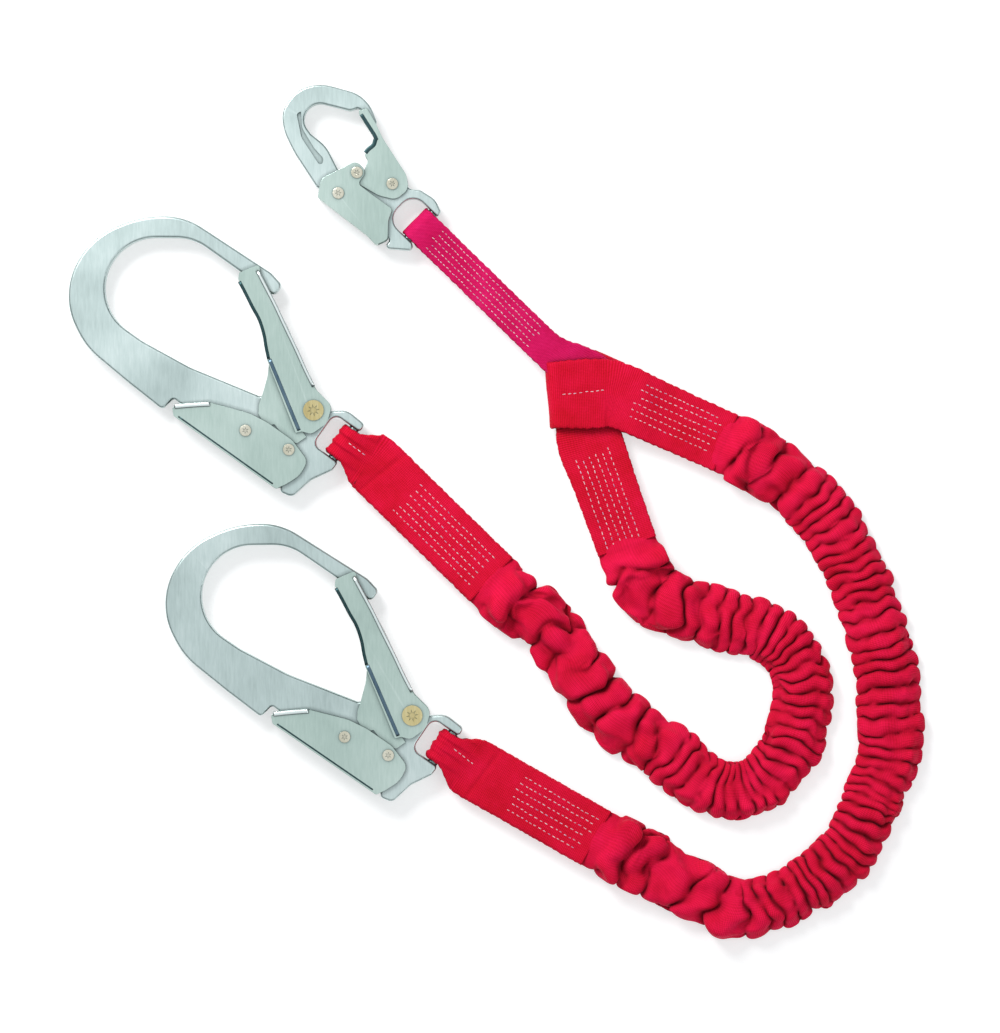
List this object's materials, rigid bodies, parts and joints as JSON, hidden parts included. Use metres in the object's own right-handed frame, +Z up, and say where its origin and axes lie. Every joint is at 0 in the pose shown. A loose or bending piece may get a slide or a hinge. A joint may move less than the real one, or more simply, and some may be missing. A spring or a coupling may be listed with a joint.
{
  "type": "shock absorbing lanyard",
  "caption": "Twin-leg shock absorbing lanyard with gathered tubular stretch legs, large rebar hooks and a small locking snap hook, laid flat.",
  "frame": {"origin": "on the floor under the centre of the box of the hooks and sewn webbing ends, without the gathered stretch of the legs", "axes": "+Z up from the surface that the lanyard lies on; +X to the right and +Y away as it is laid out with the hooks on the left"},
  "size_m": [0.6268, 0.6311, 0.0207],
  "materials": {
    "zinc_steel": "pale greenish zinc plate on forged and pressed steel",
    "brass_rivet": "yellow passivated steel rivet",
    "nickel_rivet": "nickel plated rivet",
    "spring_steel": "oiled spring wire",
    "strap_webbing": "magenta pink woven polyester webbing",
    "leg_webbing": "red woven tubular polyester webbing",
    "core_webbing": "undyed partially oriented yarn webbing"
  },
  "bodies": {
    "webbing": {"harness_strap": "strap_webbing", "leg_1_jacket": "leg_webbing", "leg_1_core": "core_webbing", "leg_1_hook_loop": "leg_webbing", "leg_1_yoke_loop": "leg_webbing", "leg_2_jacket": "leg_webbing", "leg_2_core": "core_webbing", "leg_2_hook_loop": "leg_webbing", "leg_2_yoke_loop": "leg_webbing"},
    "snap_hook": {"snap_hook_body": "zinc_steel", "snap_hook_gate_rivet": "nickel_rivet", "snap_hook_lever_rivet": "nickel_rivet", "snap_hook_gate_spring": "spring_steel", "snap_hook_lever_spring": "spring_steel"},
    "snap_hook_gate": {"snap_hook_gate": "zinc_steel"},
    "snap_hook_lever": {"snap_hook_lock_lever": "zinc_steel", "snap_hook_lock_pin": "nickel_rivet"},
    "rebar_hook_1": {"rebar_hook_1_body": "zinc_steel", "rebar_hook_1_gate_rivet": "brass_rivet", "rebar_hook_1_lever_rivet": "nickel_rivet", "rebar_hook_1_gate_spring": "spring_steel", "rebar_hook_1_lever_spring": "spring_steel", "rebar_hook_1_gate_washer": "nickel_rivet", "rebar_hook_1_lever_washer": "nickel_rivet"},
    "rebar_hook_1_gate": {"rebar_hook_1_gate": "zinc_steel"},
    "rebar_hook_1_lever": {"rebar_hook_1_lock_lever": "zinc_steel", "rebar_hook_1_catch_pin": "nickel_rivet"},
    "rebar_hook_2": {"rebar_hook_2_body": "zinc_steel", "rebar_hook_2_gate_rivet": "brass_rivet", "rebar_hook_2_lever_rivet": "nickel_rivet", "rebar_hook_2_gate_spring": "spring_steel", "rebar_hook_2_lever_spring": "spring_steel", "rebar_hook_2_gate_washer": "nickel_rivet", "rebar_hook_2_lever_washer": "nickel_rivet"},
    "rebar_hook_2_gate": {"rebar_hook_2_gate": "zinc_steel"},
    "rebar_hook_2_lever": {"rebar_hook_2_lock_lever": "zinc_steel", "rebar_hook_2_catch_pin": "nickel_rivet"}
  },
  "joints": [
    {"name": "snap_hook_swing", "type": "hinge", "parent": "webbing", "child": "snap_hook", "pos_m": [0.01403, 0.18281, 0.01035], "axis": [0.6984, 0.7157, 0], "range_deg": [0, 90]},
    {"name": "snap_hook_gate_open", "type": "hinge", "parent": "snap_hook", "child": "snap_hook_gate", "pos_m": [-0.00654, 0.2135, 0.01035], "axis": [0, 0, 1], "range_deg": [0, 21], "stiffness_Nm_per_rad": 0.1, "springref_deg": -57.3},
    {"name": "snap_hook_lever_squeeze", "type": "hinge", "parent": "snap_hook", "child": "snap_hook_lever", "pos_m": [-0.04618, 0.20655, 0.01035], "axis": [0, 0, 1], "range_deg": [0, 8], "stiffness_Nm_per_rad": 0.2, "springref_deg": -28.65},
    {"name": "rebar_hook_1_swing", "type": "hinge", "parent": "webbing", "child": "rebar_hook_1", "pos_m": [-0.04251, 0.02319, 0.01035], "axis": [0.5807, 0.8141, 0], "range_deg": [0, 90]},
    {"name": "rebar_hook_1_gate_open", "type": "hinge", "parent": "rebar_hook_1", "child": "rebar_hook_1_gate", "pos_m": [-0.06433, 0.04736, 0.01035], "axis": [0, 0, 1], "range_deg": [0, 27], "stiffness_Nm_per_rad": 0.3, "springref_deg": -57.3},
    {"name": "rebar_hook_1_lever_squeeze", "type": "hinge", "parent": "rebar_hook_1", "child": "rebar_hook_1_lever", "pos_m": [-0.11419, 0.03256, 0.01035], "axis": [0, 0, -1], "range_deg": [0, 8], "stiffness_Nm_per_rad": 0.5, "springref_deg": -28.65},
    {"name": "rebar_hook_2_swing", "type": "hinge", "parent": "webbing", "child": "rebar_hook_2", "pos_m": [0.03033, -0.20015, 0.01035], "axis": [0.5664, 0.8241, 0], "range_deg": [0, 90]},
    {"name": "rebar_hook_2_gate_open", "type": "hinge", "parent": "rebar_hook_2", "child": "rebar_hook_2_gate", "pos_m": [0.00809, -0.17637, 0.01035], "axis": [0, 0, 1], "range_deg": [0, 27], "stiffness_Nm_per_rad": 0.3, "springref_deg": -57.3},
    {"name": "rebar_hook_2_lever_squeeze", "type": "hinge", "parent": "rebar_hook_2", "child": "rebar_hook_2_lever", "pos_m": [-0.04151, -0.19204, 0.01035], "axis": [0, 0, -1], "range_deg": [0, 8], "stiffness_Nm_per_rad": 0.5, "springref_deg": -28.65}
  ]
}
